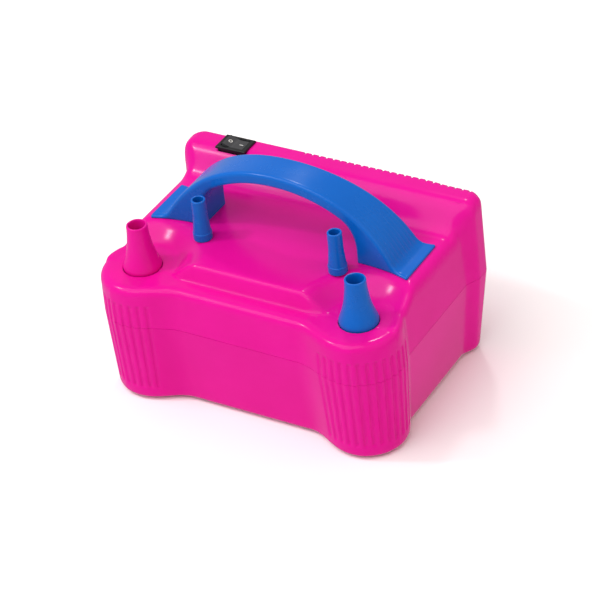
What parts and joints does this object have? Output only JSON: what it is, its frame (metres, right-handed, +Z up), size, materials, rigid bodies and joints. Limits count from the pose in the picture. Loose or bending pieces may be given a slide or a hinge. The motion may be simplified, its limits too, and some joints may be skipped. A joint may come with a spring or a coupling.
{
  "type": "balloon inflation pump",
  "caption": "Boxy electric air pump with bell-shaped blower outlets on front turrets, slim spare nozzles, a strap handle and a rocker switch on the rear deck.",
  "frame": {"origin": "under the middle of the case, on the plane of the rubber feet", "axes": "+X to the right seen from the outlets, +Y to the rear, +Z up"},
  "size_m": [0.2062, 0.1404, 0.1436],
  "materials": {
    "pink_plastic": "semi-gloss moulded",
    "blue_plastic": "semi-gloss moulded",
    "black_plastic": "satin moulded",
    "white_plastic": "satin moulded",
    "grey_plastic": "satin moulded",
    "steel": "zinc plated",
    "lamination": "varnished",
    "copper": "enamelled wire",
    "brass": "bright",
    "carbon": "matt",
    "rubber": "matt"
  },
  "bodies": {
    "case": {"carry_handle": "blue_plastic", "case_screws": "steel", "cord_gland": "rubber", "handle_screws": "steel", "left_bearings": "steel", "left_brush_bracket": "black_plastic", "left_brush_holders": "brass", "left_brush_springs": "steel", "left_carbon_brushes": "carbon", "left_fan_housing": "grey_plastic", "left_field_coils": "copper", "left_housing_cover": "grey_plastic", "left_motor_screws": "steel", "left_mount_screws": "steel", "left_nozzle": "pink_plastic", "left_outlet_duct": "grey_plastic", "left_rubber_mounts": "rubber", "left_stator_core": "lamination", "lower_shell": "pink_plastic", "microswitch_body": "black_plastic", "microswitch_terminals": "brass", "right_bearings": "steel", "right_brush_bracket": "black_plastic", "right_brush_holders": "brass", "right_brush_springs": "steel", "right_carbon_brushes": "carbon", "right_fan_housing": "grey_plastic", "right_field_coils": "copper", "right_housing_cover": "grey_plastic", "right_motor_screws": "steel", "right_mount_screws": "steel", "right_nozzle_guide": "white_plastic", "right_nozzle_spring": "steel", "right_outlet_duct": "grey_plastic", "right_rubber_mounts": "rubber", "right_stator_core": "lamination", "rubber_feet": "rubber", "switch_body": "black_plastic", "switch_terminals": "brass", "upper_shell": "pink_plastic"},
    "left_rotor": {"left_motor_shaft": "steel", "left_armature_core": "lamination", "left_armature_winding": "copper", "left_commutator": "copper", "left_impeller": "white_plastic", "left_impeller_nut": "brass"},
    "right_rotor": {"right_motor_shaft": "steel", "right_armature_core": "lamination", "right_armature_winding": "copper", "right_commutator": "copper", "right_impeller": "white_plastic", "right_impeller_nut": "brass"},
    "right_nozzle": {"right_nozzle": "blue_plastic"},
    "microswitch_lever": {"microswitch_lever": "steel"},
    "microswitch_plunger": {"microswitch_plunger": "white_plastic"},
    "switch_rocker": {"switch_rocker": "black_plastic"},
    "left_slim_nozzle": {"left_slim_nozzle": "blue_plastic"},
    "right_slim_nozzle": {"right_slim_nozzle": "blue_plastic"}
  },
  "joints": [
    {"name": "right_nozzle_press", "type": "slide", "parent": "case", "child": "right_nozzle", "axis": [0, 0, -1], "range_m": [0, 0.0035], "stiffness_N_per_m": 400, "springref_m": -0.004, "deforming": ["right_nozzle_spring"]},
    {"name": "microswitch_lever_tilt", "type": "hinge", "parent": "case", "child": "microswitch_lever", "pos_m": [0.042, -0.043, 0.077], "axis": [0, 1, 0], "range_deg": [0, 12]},
    {"name": "microswitch_plunger_press", "type": "slide", "parent": "case", "child": "microswitch_plunger", "axis": [0, 0, -1], "range_m": [0, 0.00095]},
    {"name": "switch_rocker_tilt", "type": "hinge", "parent": "case", "child": "switch_rocker", "pos_m": [-0.0664, 0.06, 0.11], "axis": [0, -1, 0], "range_deg": [0, 20]},
    {"name": "left_slim_nozzle_lift", "type": "slide", "parent": "case", "child": "left_slim_nozzle", "axis": [0, 0, 1], "range_m": [0, 0.06]},
    {"name": "right_slim_nozzle_lift", "type": "slide", "parent": "case", "child": "right_slim_nozzle", "axis": [0, 0, 1], "range_m": [0, 0.06]},
    {"name": "left_rotor_spin", "type": "hinge", "parent": "case", "child": "left_rotor", "pos_m": [-0.046, 0.01, 0.05], "axis": [0, 0, 1], "continuous": true},
    {"name": "right_rotor_spin", "type": "hinge", "parent": "case", "child": "right_rotor", "pos_m": [0.046, 0.01, 0.05], "axis": [0, 0, 1], "continuous": true}
  ],
  "couplings": [
    {"joint": "microswitch_lever_tilt", "follows": "right_nozzle_press", "rad_per_m": 58.8},
    {"joint": "microswitch_plunger_press", "follows": "right_nozzle_press", "ratio": 0.26}
  ]
}
